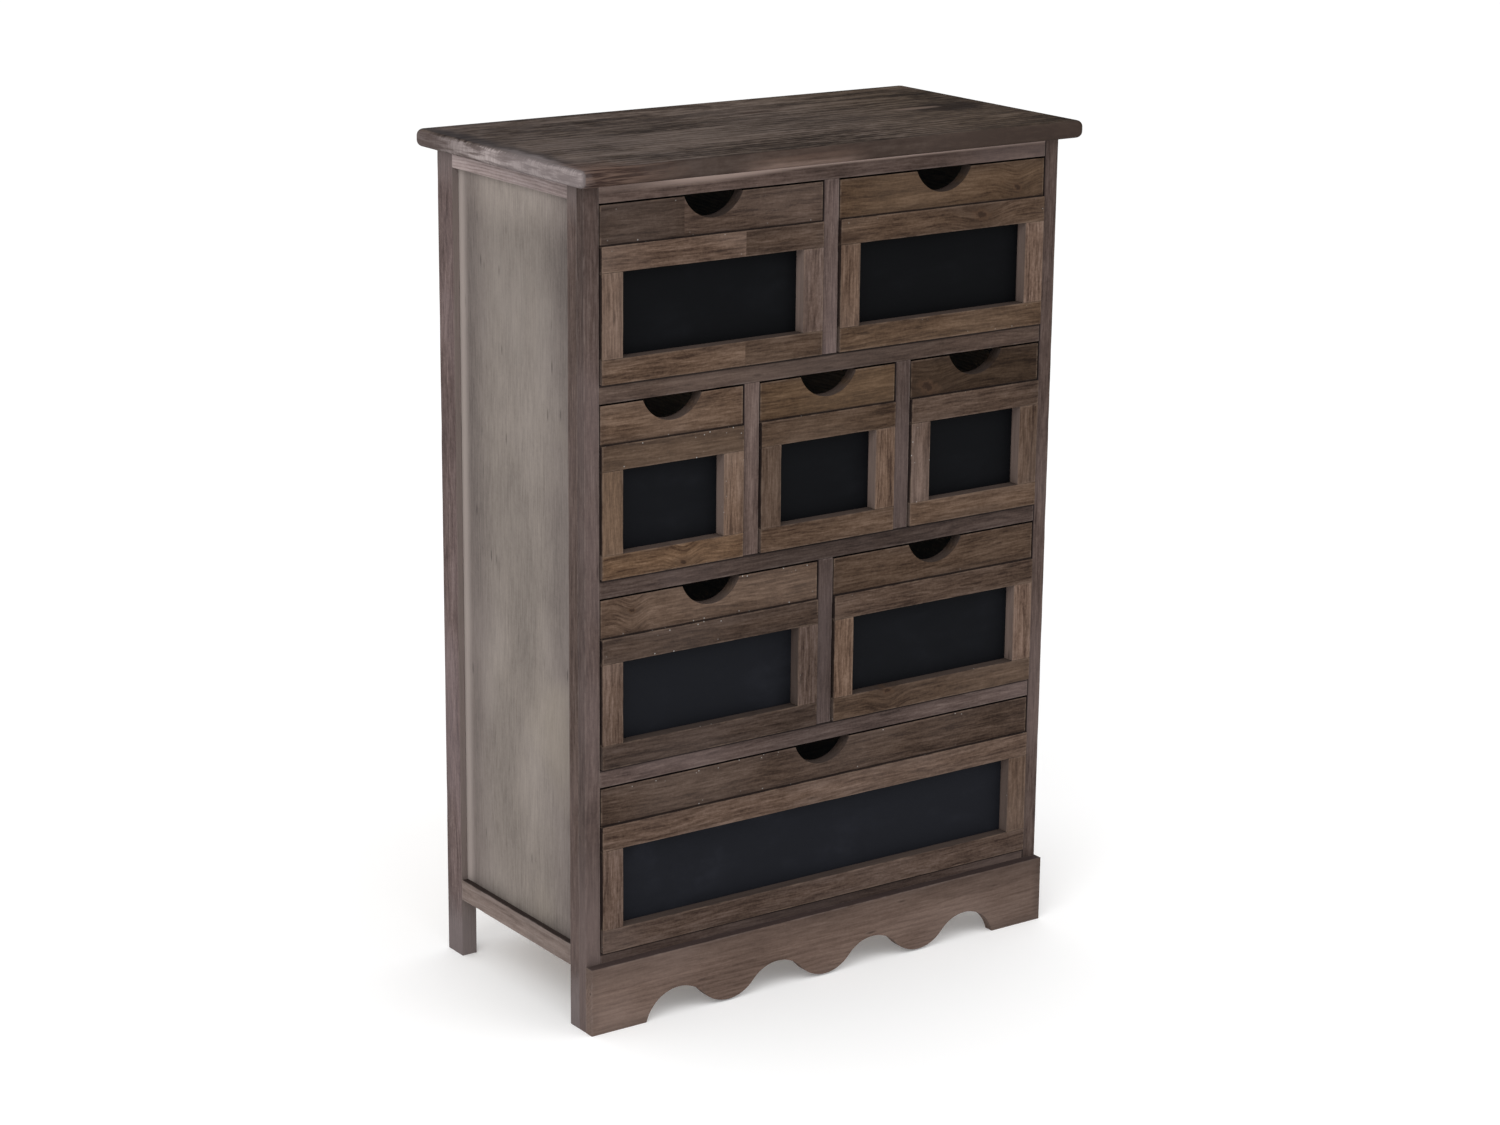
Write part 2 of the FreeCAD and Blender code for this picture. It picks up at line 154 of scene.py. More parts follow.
def carved_block(low, high, cutters):
    """Mesh of a box less the parts of it that fall inside the cutter boxes."""
    lines = []
    for axis in range(3):
        values = {round(low[axis], 6), round(high[axis], 6)}
        for box in cutters:
            for corner in box:
                if low[axis] < corner[axis] < high[axis]:
                    values.add(round(corner[axis], 6))
        lines.append(sorted(values))

    def solid(cell):
        for axis in range(3):
            if not 0 <= cell[axis] < len(lines[axis]) - 1:
                return False
        middle = [(lines[a][cell[a]] + lines[a][cell[a] + 1]) / 2 for a in range(3)]
        for near, far in cutters:
            if all(near[a] < middle[a] < far[a] for a in range(3)):
                return False
        return True

    bm = bmesh.new()
    corners = {}

    def corner(index):
        if index not in corners:
            corners[index] = bm.verts.new([lines[a][index[a]] for a in range(3)])
        return corners[index]

    counts = [len(line) - 1 for line in lines]
    cells = [(i, j, k) for i in range(counts[0])
             for j in range(counts[1]) for k in range(counts[2])]
    for cell in cells:
        if not solid(cell):
            continue
        for axis in range(3):
            for side in (0, 1):
                beside = list(cell)
                beside[axis] += 2 * side - 1
                if solid(beside):
                    continue
                u, v = (axis + 1) % 3, (axis + 2) % 3
                loop = []
                for du, dv in ((0, 0), (1, 0), (1, 1), (0, 1)):
                    index = list(cell)
                    index[axis] += side
                    index[u] += du
                    index[v] += dv
                    loop.append(corner(tuple(index)))
                bm.faces.new(loop if side else loop[::-1])
    bmesh.ops.dissolve_limit(bm, angle_limit=0.01, verts=bm.verts, edges=bm.edges)
    return bm


def prism(outline, front, back):
    """Mesh of an outline in the XZ plane, anticlockwise from the front."""
    bm = bmesh.new()
    near = [bm.verts.new((x, front, z)) for x, z in outline]
    far = [bm.verts.new((x, back, z)) for x, z in outline]
    bm.faces.new(near)
    bm.faces.new(far[::-1])
    count = len(outline)
    for i in range(count):
        j = (i + 1) % count
        bm.faces.new((near[j], near[i], far[i], far[j]))
    return bm


def arc(centre, radius, start, end, steps):
    """Points on an arc, angles in radians from +X towards +Z."""
    turns = [start + (end - start) * i / steps for i in range(steps + 1)]
    return [(centre[0] + radius * math.cos(t), centre[1] + radius * math.sin(t))
            for t in turns]


def soften(bm, width):
    """Rounds the outer arrises and leaves the inner corners sharp."""
    edges = [edge for edge in bm.edges
             if edge.is_manifold and edge.calc_face_angle_signed(0) > 0.5]
    bmesh.ops.bevel(bm, geom=edges, offset=width, offset_type="OFFSET",
                    segments=2, profile=0.6, affect="EDGES", clamp_overlap=True)


def wear(bm, low, high, axis, depth):
    """Slices the board along its grain and nicks the arrises."""
    start, end = low[axis], high[axis]
    count = int((end - start) / SLICE)
    normal = Vector([float(a == axis) for a in range(3)])
    for i in range(1, count):
        point = normal * (start + (end - start) * i / count)
        geometry = bm.verts[:] + bm.edges[:] + bm.faces[:]
        bmesh.ops.bisect_plane(bm, geom=geometry, plane_co=point,
                               plane_no=normal, dist=1e-6)
    centre = (Vector(low) + Vector(high)) / 2
    for vert in bm.verts:
        near = [min(vert.co[a] - low[a], high[a] - vert.co[a]) for a in range(3)]
        if sorted(near)[1] > NICK_REACH:
            continue
        amount = noise.noise(vert.co * NICK_SCALE)
        amount += 0.4 * noise.noise(vert.co * FINE_NICK_SCALE)
        amount = max(0.0, amount - 0.05) * depth
        inward = Vector([0.0, 0.0, 0.0])
        for a in range(3):
            if a != axis and near[a] <= NICK_REACH:
                inward[a] = math.copysign(1.0, centre[a] - vert.co[a])
        if inward.length > 0:
            vert.co += inward.normalized() * amount


def new_object(name, data):
    """Puts an object with this data in the scene."""
    obj = bpy.data.objects.new(name, data)
    bpy.context.scene.collection.objects.link(obj)
    return obj


class Piece:
    """Collects boards and turns them into one object for a CAD node."""

    def __init__(self, node, body):
        self.node = node
        self.name = "look_" + node
        self.body = body
        self.points = []
        self.faces = []
        self.boards = 0
        self.values = {}

    def add(self, bm, low, high, axis, tone, join=None, warmth=None, recess=0.0,
            knot=None):
        """Adds a board with its grain along an axis and its own tone.

        A join is (share of the length, ratio of the tones), a knot is (share of the
        length, share of the height, size), and recess is how pale the painted shade
        on the side and level faces is where light reaches them.
        """
        rng = random.Random("%s %d" % (self.name, self.boards))
        self.boards += 1
        sizes = [high[a] - low[a] for a in range(3)]
        others = sorted([a for a in range(3) if a != axis], key=lambda a: -sizes[a])
        across, through = others
        shift = rng.uniform(0, 6)
        pith_across = rng.uniform(-0.4, 0.4) * sizes[across]
        pith_through = rng.uniform(18, 60) * MM * rng.choice((-1, 1))
        join_share, ratio = join or (2.0, 1.0)
        if warmth is None:
            warmth = rng.uniform(-0.3, 0.3)
        knot_along, knot_up, knot_size = knot or (FAR_AWAY, FAR_AWAY, 1.0)
        start = len(self.points)
        bm.verts.index_update()
        for vert in bm.verts:
            co = vert.co
            near = [co[a] - low[a] for a in range(3)]
            along = near[axis]
            values = {
                "grain": (along + shift,
                          co[across] - (low[across] + high[across]) / 2 - pith_across,
                          near[through] - pith_through),
                "near": near,
                "far": [high[a] - co[a] for a in range(3)],
                "look": (tone, tone * ratio, along - join_share * sizes[axis]),
                "tint": (warmth, recess, 0.0),
                "knot": ((along - knot_along * sizes[axis]) / knot_size,
                         (near[2] - knot_up * sizes[2]) / knot_size, 0.0),
            }
            for key, value in values.items():
                self.values.setdefault(key, []).append(value)
            self.points.append(tuple(co))
        for face in bm.faces:
            self.faces.append([start + vert.index for vert in face.verts])
        bm.free()

    def finish(self, material, slot):
        """Makes the object that stands for the CAD node."""
        mesh = bpy.data.meshes.new(self.name)
        mesh.from_pydata(self.points, [], self.faces)
        for key, values in self.values.items():
            layer = mesh.attributes.new(key, "FLOAT_VECTOR", "POINT")
            layer.data.foreach_set("vector", [c for value in values for c in value])
        mesh.materials.append(material)
        mesh.shade_smooth()
        mesh.set_sharp_from_angle(angle=SHARP_ANGLE)
        obj = new_object(self.name, mesh)
        weighted = obj.modifiers.new("flat faces", "WEIGHTED_NORMAL")
        weighted.keep_sharp = True
        weighted.weight = 60
        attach(obj, self.body)
        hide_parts(self.node)


# Nodes ---------------------------------

class Graph:
    """Builds a material's nodes; most methods return an output socket.

    Colours are linear (red, green, blue).
    """

    def __init__(self, name):
        self.material = bpy.data.materials.new(name)
        self.material.use_nodes = True
        self.tree = self.material.node_tree
        self.shader = self.tree.nodes["Principled BSDF"]

    def node(self, kind, inputs=(), **settings):
        made = self.tree.nodes.new("ShaderNode" + kind)
        for key, value in settings.items():
            setattr(made, key, value)
        self.feed(made, dict(inputs))
        return made

    def feed(self, node, inputs):
        for key, value in inputs.items():
            socket = node.inputs[key]
            if isinstance(value, bpy.types.NodeSocket):
                self.tree.links.new(value, socket)
            elif socket.type == "RGBA":
                socket.default_value = (*value, 1.0)
            else:
                socket.default_value = value

    def attribute(self, name):
        return self.node("Attribute", attribute_name=name).outputs["Vector"]

    def part(self, name, index):
        """One of the three values of an attribute."""
        return self.split(self.attribute(name))[index]

    def place(self):
        """Place in the frame of the cabinet."""
        return self.node("TexCoord").outputs["Object"]

    def facing(self):
        """The direction a face looks in, as x, y and z."""
        return self.split(self.node("NewGeometry").outputs["True Normal"])

    def math(self, operation, a, b=0.0, c=0.0):
        return self.node("Math", {0: a, 1: b, 2: c}, operation=operation).outputs[0]

    def plus(self, a, b):
        return self.math("ADD", a, b)

    def times(self, first, *others):
        for other in others:
            first = self.math("MULTIPLY", first, other)
        return first

    def scale_add(self, value, scale, offset):
        return self.math("MULTIPLY_ADD", value, scale, offset)

    def absolute(self, value):
        return self.math("ABSOLUTE", value)

    def vector(self, operation, a, b=(0.0, 0.0, 0.0)):
        return self.node("VectorMath", {0: a, 1: b}, operation=operation).outputs[0]

    def scaled(self, vector, factors):
        return self.vector("MULTIPLY", vector, factors)

    def length(self, vector):
        return self.node("VectorMath", {0: vector}, operation="LENGTH").outputs["Value"]

    def split(self, vector):
        return self.node("SeparateXYZ", {0: vector}).outputs

    def join(self, x, y, z):
        return self.node("CombineXYZ", {0: x, 1: y, 2: z}).outputs[0]

    def noise(self, vector, scale, detail=3.0, roughness=0.6, output=0):
        inputs = {"Vector": vector, "Scale": scale, "Detail": detail, "Roughness": roughness}
        return self.node("TexNoise", inputs).outputs[output]

    def stretched(self, grain, along, across, detail=3.0, roughness=0.6):
        """Noise drawn out along the grain; both figures are cycles a metre."""
        vector = self.scaled(grain, (along, across, across))
        return self.noise(vector, 1.0, detail, roughness)

    def spots(self, vector, scale, inner, outer, channel, rarity):
        """Scattered spots, 1 within the inner radius and 0 past the outer one."""
        cell = self.node("TexVoronoi", {"Vector": vector, "Scale": scale})
        chance = self.split(cell.outputs["Color"])[channel]
        return self.times(self.step(cell.outputs["Distance"], outer, inner),
                          self.math("GREATER_THAN", chance, rarity))

    def step(self, value, low, high, a=0.0, b=1.0):
        """A smooth step from a to b as the value goes from low to high."""
        inputs = {"Value": value, "From Min": low, "From Max": high,
                  "To Min": a, "To Max": b}
        return self.node("MapRange", inputs, interpolation_type="SMOOTHSTEP").outputs[0]

    def mix(self, factor, a, b, blend="MIX"):
        return self.node("Mix", {0: factor, 6: a, 7: b}, data_type="RGBA",
                         blend_type=blend, clamp_factor=True).outputs[2]

    def tinted(self, colour, tint):
        return self.mix(1.0, colour, tint, "MULTIPLY")

    def dimmed(self, colour, factor):
        return self.tinted(colour, self.join(factor, factor, factor))

    def ramp(self, value, stops):
        made = self.node("ValToRGB", {0: value})
        elements = made.color_ramp.elements
        while len(elements) < len(stops):
            elements.new(0.5)
        for element, (place, colour) in zip(elements, stops):
            element.position = place
            element.color = (*colour, 1.0)
        return made.outputs[0]

    def bump(self, height, depth):
        inputs = {"Height": height, "Strength": 1.0, "Distance": depth}
        return self.node("Bump", inputs).outputs["Normal"]

    def glow(self, colour, strength):
        self.feed(self.shader, {"Emission Color": colour, "Emission Strength": strength})

    def surface(self, colour, roughness, normal=None, specular=0.25, metallic=0.0):
        self.feed(self.shader, {"Base Color": colour, "Roughness": roughness,
                                "Specular IOR Level": specular, "Metallic": metallic})
        if normal:
            self.feed(self.shader, {"Normal": normal})
        return self.material


# Wood ----------------------------------

WOOD = {
    "ring_spacing": 2.9 * MM,   # width of one growth ring
    "rings": 0.26,              # contrast of the rings
    "streaks": 0.62,            # contrast of the streaks along the grain
    "fibres": 1.0,              # contrast of the finest fibres
    "figure": 1.0,              # streaks across the board, 1 is the usual count
    "blotches": 0.9,           # contrast of the broad patches
    "grey": (0.14, 0.12, 0.115),  # colour of weathered timber
    "greyness": 0.35,
    "worn": (0.2, 0.15, 0.12),  # colour of a rubbed arris
    "wear": 0.42,
    "stain": (0.014, 0.01, 0.01),  # colour left on the edges
    "recess": (0.09, 0.067, 0.058),  # the same, where light reaches it
    "stained_sides": 0.0,       # share of painted shade on faces that look to the left and right
    "stained_levels": 0.0,      # painted shade on faces that look sideways, up or down
    # Darkening beside the arrises: grime, and painted shade where gaps between boards fall
    # dark
    "grime": 0.35,
    "stave": 0.0,               # width of the boards glued side by side
    "marks": 0.5,
    "knots": 0.8,
    "specks": 0.0,
    "roughness": 0.66,
    "relief": 0.3 * MM,
    "specular": 0.05,
    "glow": 0.0,                # lifts the blacks inside the closed drawers
    "finish": (),               # functions that add to the colour
}


def timber(g, stave):
    """Place in the timber and tone, past a board's join and for each stave."""
    grain = g.attribute("grain")
    across = g.split(grain)[1]
    tone, second_tone, past_join = g.split(g.attribute("look"))
    joined = g.math("GREATER_THAN", past_join, 0.0)
    jump = g.join(g.times(joined, 3.7), g.times(joined, 0.011), g.times(joined, 0.019))
    grain = g.vector("ADD", grain, jump)
    tone = g.plus(tone, g.times(joined, g.math("SUBTRACT", second_tone, tone)))
    if stave:
        index = g.math("FLOOR", g.math("DIVIDE", across, stave))
        shift = g.join(g.times(index, 1.31), 0.0, g.times(index, 0.017))
        grain = g.vector("ADD", grain, shift)
        pick = g.node("TexWhiteNoise", {"W": index}, noise_dimensions="1D")
        tone = g.times(tone, g.scale_add(pick.outputs["Value"], 0.24, 0.88))
    return grain, tone


def wander(g, grain):
    """Grain that wanders along the board and swells round the knot."""
    bent = grain
    for scale, detail, roughness, reach in (((2.2, 3.0, 3.0), 2.0, 0.5, 24 * MM),
                                            ((14.0, 60.0, 60.0), 3.0, 0.6, 3 * MM)):
        drift = g.noise(g.scaled(grain, scale), 1.0, detail, roughness, output=1)
        drift = g.vector("SUBTRACT", drift, (0.5, 0.5, 0.5))
        bent = g.vector("ADD", bent, g.scaled(drift, (0.0, reach, reach)))
    swell = g.step(g.absolute(g.part("knot", 0)), 34 * MM, 0.0, 0.0, 7 * MM)
    return g.vector("ADD", bent, g.join(0.0, swell, 0.0))


def late_wood(g, bent, spacing):
    """The dark part of each growth ring round the pith."""
    _, across, through = g.split(bent)
    radius = g.math("SQRT", g.plus(g.times(across, across), g.times(through, through)))
    ring = g.math("FRACT", g.math("DIVIDE", radius, spacing))
    return g.times(g.step(ring, 0.2, 0.85), g.step(ring, 1.0, 0.88))


def stained(g, look, colour, tone, streak):
    """Painted shade: faces that look sideways, up or down are painted dark, and paler where
    light reaches them.
    """
    facing = g.facing()
    recess = g.part("tint", 1)
    side = g.step(g.absolute(facing[0]), 0.6, 0.9, 0.0, look["stained_sides"])
    level = g.step(g.absolute(facing[2]), 0.6, 0.9, 0.0, look["stained_levels"])
    open_tone = g.times(g.scale_add(tone, 0.45, 0.35), recess)
    lit_shade_colour = g.dimmed(look["recess"], open_tone)
    stain = g.mix(g.math("GREATER_THAN", recess, 0.0), look["stain"], lit_shade_colour)
    stain = g.mix(streak, g.dimmed(stain, 0.7), g.dimmed(stain, 1.3))
    return g.mix(g.math("MAXIMUM", side, level), colour, stain)


def arris_distance(g):
    """Distance from the nearest arris: the middle one of the three distances."""
    a, b, c = g.split(g.vector("MINIMUM", g.attribute("near"), g.attribute("far")))
    return g.math("MAXIMUM", g.math("MINIMUM", a, b),
                  g.math("MINIMUM", g.math("MAXIMUM", a, b), c))


def wood(name, dark, middle, light, **options):
    """Old sawn timber; the options tune the figure, see WOOD."""
    look = {**WOOD, **options}
    g = Graph(name)
    grain, tone = timber(g, look["stave"])
    bent = wander(g, grain)
    late = late_wood(g, bent, look["ring_spacing"])

    # The streaks follow the same bend as the rings
    figure = look["figure"]
    streak = g.stretched(bent, 7.0, 230.0 * figure, 6.0, 0.7)
    broad_streak = g.stretched(bent, 2.5, 55.0 * figure)
    fibre = g.stretched(bent, 38.0, 460.0 * figure, 3.0, 0.7)
    mottle = g.noise(grain, 340.0 * figure, 3.0, 0.75)
    blotch = g.stretched(grain, 9.0, 22.0, 4.0, 0.62)
    patch = g.stretched(grain, 5.0, 10.0, 3.0, 0.55)
    value = g.scale_add(late, -look["rings"], 0.5 + look["rings"] * 0.3)
    for source, contrast in ((streak, look["streaks"]),
                             (broad_streak, look["streaks"] * 0.55),
                             (fibre, look["fibres"]),
                             (mottle, look["fibres"] * 0.4),
                             (blotch, look["blotches"])):
        value = g.plus(value, g.times(contrast, g.math("SUBTRACT", source, 0.5)))
    colour = g.ramp(value, [(0.12, dark), (0.5, middle), (0.88, light)])

    # Weathered patches, and the tone and warmth of this board
    greyed = g.times(g.step(patch, 0.42, 0.66), look["greyness"])
    colour = g.mix(greyed, colour, look["grey"])
    spread = look["blotches"] * 0.3
    tone = g.times(tone, g.step(patch, 0.28, 0.72, 1.0 - spread, 1.0 + spread))
    warmth = g.part("tint", 0)
    colour = g.tinted(colour, g.join(tone, g.times(tone, g.scale_add(warmth, -0.055, 1.0)),
                                     g.times(tone, g.scale_add(warmth, -0.19, 1.0))))
    # Painted shade on the faces that look sideways, up or down
    if look["stained_sides"] or look["stained_levels"]:
        colour = stained(g, look, colour, tone, streak)

    # Grime and painted shade beside the arrises, where gaps between boards fall dark, and
    # the arrises rubbed pale
    arris = arris_distance(g)
    grime = g.times(g.step(arris, 0.012, 0.0012), g.step(blotch, 0.38, 0.7, 0.1, 1.0),
                    look["grime"])
    colour = g.mix(grime, colour, g.mix(0.78, colour, (0.01, 0.008, 0.009)))
    rub = g.stretched(grain, 45.0, 120.0, 4.0, 0.7)
    worn = g.times(g.step(arris, 0.002, 0.0004), g.step(rub, 0.42, 0.62, 0.1, 1.0),
                   look["wear"])
    colour = g.mix(worn, colour, look["worn"])

    # Small dark dents, knots and pale specks near the arrises
    dent = g.times(g.spots(g.scaled(grain, (26.0, 130.0, 130.0)), 1.0, 0.05, 0.22,
                           0, 0.82), look["marks"])
    colour = g.mix(dent, colour, g.mix(0.75, colour, (0.008, 0.006, 0.006)))
    knot = g.times(g.spots(g.scaled(bent, (9.0, 26.0, 26.0)), 1.0, 0.08, 0.22,
                           1, 0.9), look["knots"])
    colour = g.mix(knot, colour, g.mix(0.62, colour, (0.02, 0.009, 0.005)))
    speck = g.times(g.spots(grain, 420.0, 0.16, 0.34, 2, 0.972),
                    g.step(arris, 0.006, 0.0015, 0.04, 1.0),
                    g.step(patch, 0.45, 0.6), look["specks"])
    colour = g.mix(speck, colour, (0.42, 0.4, 0.38))
    for finish in look["finish"]:
        colour = finish(g, colour)

    height = g.scale_add(late, 0.3, g.times(streak, 0.9))
    height = g.plus(height, g.times(fibre, 0.5))
    height = g.plus(height, g.times(dent, -1.2))
    g.glow((0.8, 1.0, 1.15), look["glow"])
    rough = g.scale_add(streak, 0.22, look["roughness"] - 0.11)
    return g.surface(colour, rough, g.bump(height, look["relief"]), look["specular"])


# Finishes ------------------------------

# Each adds to the colour of one kind of board.

def shade_line(g, colour, distance, width):
    """A crisp painted shade line along one edge of a board's front, where a gap or a proud
    frame casts shade.
    """
    line = g.step(distance, width, width - 0.9 * MM, 0.0, 0.8)
    return g.mix(line, colour, (0.01, 0.007, 0.007))


def rail_shade_and_highlight(g, colour):
    """Rails of the face frame: painted shade under the drawers and in the middle.

    The top rail instead has a painted highlight, a pale band close under the top board where
    the overhang's shadow falls, and grows darker towards the right.
    """
    below = g.part("far", 2)
    along = g.part("near", 0)
    upper = g.step(g.split(g.place())[2], TOP_OF_DRAWERS - 4.5 * MM,
                   TOP_OF_DRAWERS - 0.5 * MM)
    # Painted shade: a dark line along the top of each rail, under the proud drawer fronts
    colour = shade_line(g, colour, g.plus(below, upper), 2.2 * MM)
    # Painted shade in the middle of the lower rails, under the dividers
    aside = g.absolute(g.math("SUBTRACT", along, 0.26))
    smudge = g.math("MAXIMUM", g.step(aside, 0.03, 0.16, 0.72, 1.0), upper)
    colour = g.dimmed(colour, smudge)
    # The top rail grows darker towards the right
    colour = g.mix(upper, colour, g.dimmed(colour, g.step(along, 0.05, 0.35, 1.0, 0.75)))
    # Painted highlight: a pale band at the top of the top rail, under the overhang of the
    # top board, where its shadow falls
    foot = g.step(along, 0.1, 0.24, 11 * MM, 5.5 * MM)
    highlight_band = g.times(upper, g.step(below, foot, 2.5 * MM),
                   g.step(along, 0.02, 0.1, 0.3, 1.0),
                   g.step(along, 0.3, 0.46, 1.0, 0.55))
    return g.mix(highlight_band, colour, (0.42, 0.32, 0.28))


def upright_shade_and_pale_foot(g, colour):
    """Uprights of the face frame: painted shade beside the proud panel frames and on their
    inner sides.

    The left stile is paler towards its foot; painted shade darkens the faces that look to
    the left, such as its outer side.
    """
    facing = g.facing()
    centred = g.split(g.place())[0]
    within = g.step(g.absolute(centred), HALF_FRAME - 0.5 * MM, HALF_FRAME - 1.3 * MM)
    # Painted shade: the side faces inside the frame are painted dark
    side = g.times(within, g.step(g.absolute(facing[0]), 0.6, 0.9))
    colour = g.mix(side, colour, (0.014, 0.01, 0.01))
    # Painted shade on faces that look to the left; the others are a little lighter
    colour = g.dimmed(colour, g.step(facing[0], -0.3, -0.8, 1.05, 0.84))
    low = g.times(g.step(g.part("near", 2), 0.22, 0.1, 0.0, 0.5),
                  g.step(centred, -0.2, -0.21))
    colour = g.mix(low, colour, (0.165, 0.125, 0.117))
    beside = g.plus(g.part("near", 0), g.math("SUBTRACT", 1.0, within))
    return shade_line(g, colour, beside, 1.7 * MM)


def one_knot(g, colour):
    """Fronts: a dark knot, a brown ring and a long smudge round it."""
    along, across, _ = g.split(g.attribute("knot"))
    smudge = g.join(g.times(along, 0.3), across, 0.0)
    eye = g.join(g.times(g.scale_add(across, 0.6, along), 0.6), across, 0.0)
    uneven = g.times(g.noise(g.attribute("grain"), 160.0), 8 * MM)
    for place, outer, inner, strength, shade in (
            (smudge, 15.0, 6.0, 0.4, (0.03, 0.018, 0.012)),
            (eye, 10.0, 6.5, 0.4, (0.09, 0.05, 0.03)),
            (eye, 7.5, 5.0, 0.75, (0.018, 0.01, 0.007))):
        away = g.plus(g.length(place), uneven)
        colour = g.mix(g.step(away, outer * MM, inner * MM, 0.0, strength), colour, shade)
    return colour


def strip_shade(g, colour):
    """Notched strips: painted shade over the proud panel frame and on the top face, in the
    gap above the drawer.
    """
    colour = shade_line(g, colour, g.part("near", 2), 1.5 * MM)
    # Painted shade: the top face painted dark, where the gap above the drawer is in shade
    top = g.times(g.step(g.facing()[2], 0.6, 0.9),
                  g.step(g.part("far", 2), 1 * MM, 0.5 * MM))
    return g.mix(top, colour, (0.012, 0.009, 0.009))


def worn_surface(g, colour, near_x, near_y, rub):
    """Upper face of the top board: paler to the left, dimmer to the right."""
    pale = g.times(g.step(near_x, 0.26, 0.02, 0.0, 0.3), g.step(rub, 0.3, 0.6))
    colour = g.mix(pale, colour, (0.12, 0.097, 0.09))
    aside = g.absolute(g.math("SUBTRACT", near_y, 0.14))
    colour = g.dimmed(colour, g.step(aside, 0.035, 0.06, 0.88, 1.04))
    dim = g.step(near_x, 0.3, 0.5, 1.0, 0.76)
    return g.tinted(colour, g.join(dim, g.math("POWER", dim, 1.2),
                                   g.math("POWER", dim, 1.6)))


def front_edge_wear_and_highlight(g, colour, facing, near, rub, scratch):
    """Front edge: dark, with one warm rubbed length that has a painted highlight along its
    foot.
    """
    near_x, _, near_z = g.split(near)
    ahead = g.step(g.times(facing[1], -1.0), 0.05, 0.4)
    rubbed = g.times(g.step(near_x, 0.15, 0.2), g.step(near_x, 0.31, 0.26),
                     g.step(scratch, 0.35, 0.6, 0.5, 1.0),
                     g.step(near_z, 0.0135, 0.0075, 0.25, 1.0))
    edge = g.mix(rubbed, (0.048, 0.034, 0.029), (0.112, 0.074, 0.059))
    colour = g.mix(g.times(ahead, 0.72), colour, edge)
    # Painted highlight: a pale band along the foot of the rubbed length
    foot = g.times(ahead, g.step(g.scale_add(rub, 0.004, near_z), 0.0085, 0.0045),
                   rubbed, 0.5)
    return g.mix(foot, colour, (0.23, 0.165, 0.14))


def bleached_ends(g, colour, facing, near):
    """End grain: frayed and bleached to the left, dark to the right."""
    near_x, near_y, _ = g.split(near)
    ends = g.noise(g.scaled(near, (40.0, 22.0, 260.0)), 1.0, 4.0, 0.65)
    fray = g.noise(g.scaled(near, (60.0, 420.0, 60.0)), 1.0, 3.0, 0.7)
    outward = g.scale_add(g.math("SUBTRACT", fray, 0.5), 0.9, g.absolute(facing[0]))
    end = g.times(g.step(outward, 0.45, 0.85), g.step(ends, 0.3, 0.58, 0.7, 1.0))
    bleached = g.mix(g.step(ends, 0.38, 0.6), (0.15, 0.118, 0.112),
                     (0.41, 0.352, 0.34))
    for share, shade in ((g.step(fray, 0.56, 0.4, 0.0, 0.3), (0.1, 0.08, 0.075)),
                         (g.step(near_y, 0.14, 0.27, 0.0, 0.8), (0.09, 0.067, 0.062))):
        bleached = g.mix(share, bleached, shade)
    bleached = g.dimmed(bleached, g.step(near_y, 0.2, 0.03, 0.84, 1.95))
    bleached = g.mix(g.step(near_x, 0.3, 0.4), bleached, (0.048, 0.035, 0.031))
    return g.mix(end, colour, bleached)


def worn_top(g, colour):
    """Top board: bleached end grain, a rubbed front edge with a painted highlight, and a
    rubbed corner.
    """
    grain = g.attribute("grain")
    near = g.attribute("near")
    near_x, near_y, _ = g.split(near)
    facing = g.facing()
    rub = g.noise(grain, 38.0, 4.0, 0.65)
    scratch = g.stretched(grain, 14.0, 300.0, 4.0, 0.7)
    colour = worn_surface(g, colour, near_x, near_y, rub)
    colour = front_edge_wear_and_highlight(g, colour, facing, near, rub, scratch)
    colour = bleached_ends(g, colour, facing, near)
    far_x, far_y, _ = g.split(g.attribute("far"))
    rim = g.times(g.step(g.math("MINIMUM", far_x, far_y), 0.009, 0.003),
                  g.step(facing[2], 0.2, 0.6))
    colour = g.mix(rim, colour, (0.026, 0.014, 0.01))

    # Over the left end: a dusty margin, then a dark, damp-looking border
    flat = g.step(g.absolute(facing[0]), 0.4, 0.2)
    inset = g.scale_add(rub, 0.03, near_x)
    border = g.times(g.step(inset, 0.044, 0.026), flat, 0.7)
    colour = g.mix(border, colour, (0.024, 0.021, 0.023))
    dusty = g.times(g.step(inset, 0.03, 0.02), g.step(near_y, 0.2, 0.08), 0.8)
    colour = g.mix(dusty, colour, (0.15, 0.128, 0.128))

    # Corner rubbed through to the wood, with dark scratches
    reach = g.scale_add(rub, 0.08, g.plus(near_x, g.times(near_y, 1.6)))
    corner = g.times(g.step(reach, 0.165, 0.07), flat, 0.7)
    warm = g.mix(g.step(scratch, 0.44, 0.58), (0.03, 0.016, 0.013),
                 (0.125, 0.08, 0.062))
    colour = g.mix(corner, colour, warm)

    # A knot with paler wood beside it near the right rear corner
    for place, size, shade in (((0.49, 0.139), (0.05, 0.03), (0.01, 0.006, 0.005)),
                               ((0.462, 0.143), (0.03, 0.007), (0.13, 0.094, 0.076))):
        across, back = [g.math("DIVIDE", g.math("SUBTRACT", value, middle), reach)
                        for value, middle, reach in zip((near_x, near_y), place, size)]
        away = g.scale_add(rub, 1.2, g.length(g.join(across, back, 0.0)))
        colour = g.mix(g.step(away, 1.7, 1.1, 0.0, 0.8), colour, shade)
    return colour


